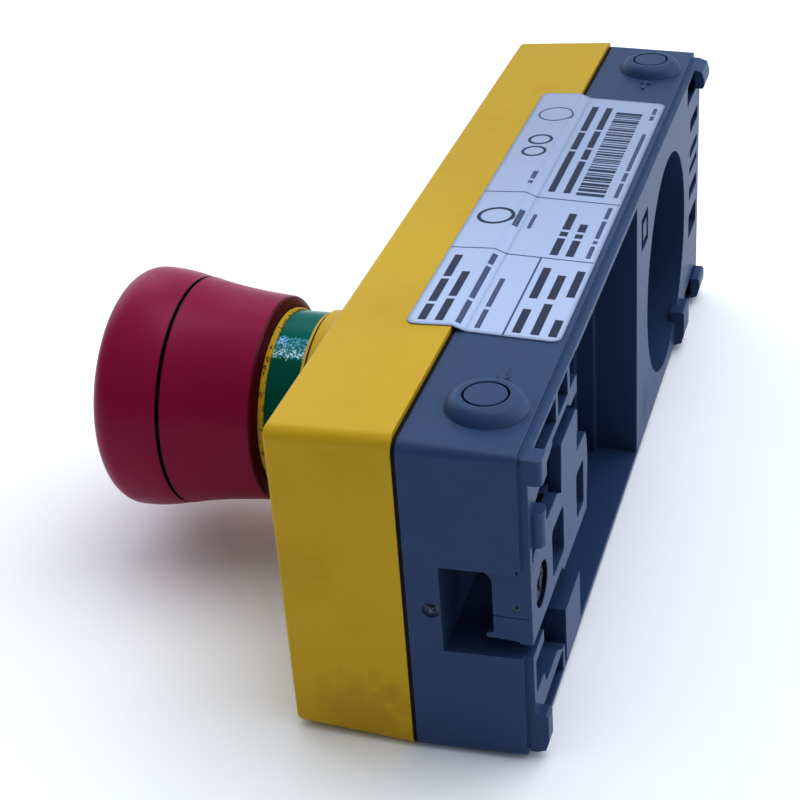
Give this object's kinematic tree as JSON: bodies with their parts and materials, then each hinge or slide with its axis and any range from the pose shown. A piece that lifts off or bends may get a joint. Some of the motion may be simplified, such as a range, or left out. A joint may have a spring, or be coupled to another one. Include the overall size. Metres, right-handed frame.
{
  "type": "emergency stop module",
  "caption": "Long yellow and blue-grey housing with a crimson mushroom push button over a green ring, an open moulded back and a cable channel.",
  "frame": {"origin": "centre of the bounding box at its lowest plane, where the long side without the label rests", "axes": "+X along the housing to the end with the button, -Y out of the operator's face, +Y out of the mounting side, +Z to the long side with the label"},
  "size_m": [0.151, 0.0822, 0.0539],
  "materials": {
    "yellow_plastic": "satin moulded",
    "blue_grey_plastic": "matte moulded",
    "crimson_plastic": "satin moulded",
    "green_plastic": "glossy translucent",
    "black_plastic": "matte",
    "black_rubber": "matte",
    "natural_plastic": "satin",
    "label_film": "satin film",
    "screw_steel": "zinc plated",
    "spring_steel": "drawn wire",
    "contact_brass": "plated",
    "board_laminate": "solder mask",
    "capacitor_can": "drawn can"
  },
  "bodies": {
    "housing": {"front_cover": "yellow_plastic", "cover_gasket": "black_rubber", "base_housing": "blue_grey_plastic", "boss_plugs": "blue_grey_plastic", "rating_label": "label_film", "retainer_plate": "blue_grey_plastic", "retainer_screw": "screw_steel", "bezel_seal": "black_rubber", "actuator_barrel": "black_plastic", "barrel_nut": "screw_steel", "led_board": "board_laminate", "ring_leds": "label_film", "indicator_ring": "green_plastic", "marker_ring": "yellow_plastic", "latch_sleeve": "natural_plastic", "latch_pins": "screw_steel", "return_spring": "spring_steel", "stem_seal": "black_rubber", "contact_block_upper": "black_plastic", "contact_block_lower": "black_plastic", "fixed_contacts": "contact_brass", "contact_springs": "spring_steel", "circuit_board": "board_laminate", "board_chips": "black_plastic", "board_capacitors": "capacitor_can", "board_screws": "screw_steel", "piercing_pins": "contact_brass"},
    "plunger": {"push_stem": "black_plastic", "stem_clip": "spring_steel", "hub_screw": "screw_steel", "twist_spring": "spring_steel"},
    "head": {"head_hub": "crimson_plastic", "mushroom_skirt": "crimson_plastic", "mushroom_cap": "crimson_plastic"},
    "contacts": {"contact_plungers": "natural_plastic", "contact_bridges": "contact_brass"}
  },
  "joints": [
    {"name": "button_push", "type": "slide", "parent": "housing", "child": "plunger", "axis": [0, 1, 0], "range_m": [0, 0.0045], "stiffness_N_per_m": 1500, "springref_m": -0.004, "deforming": ["return_spring"]},
    {"name": "head_twist", "type": "hinge", "parent": "plunger", "child": "head", "pos_m": [0.0268, -0.0336, 0.0267], "axis": [0, 1, 0], "range_deg": [0, 45], "stiffness_Nm_per_rad": 0.02, "springref_deg": -17.19, "deforming": ["twist_spring"]},
    {"name": "contact_travel", "type": "slide", "parent": "housing", "child": "contacts", "axis": [0, 1, 0], "range_m": [0, 0.0045], "deforming": ["contact_springs"]}
  ],
  "couplings": [
    {"joint": "contact_travel", "follows": "button_push", "ratio": 1}
  ]
}
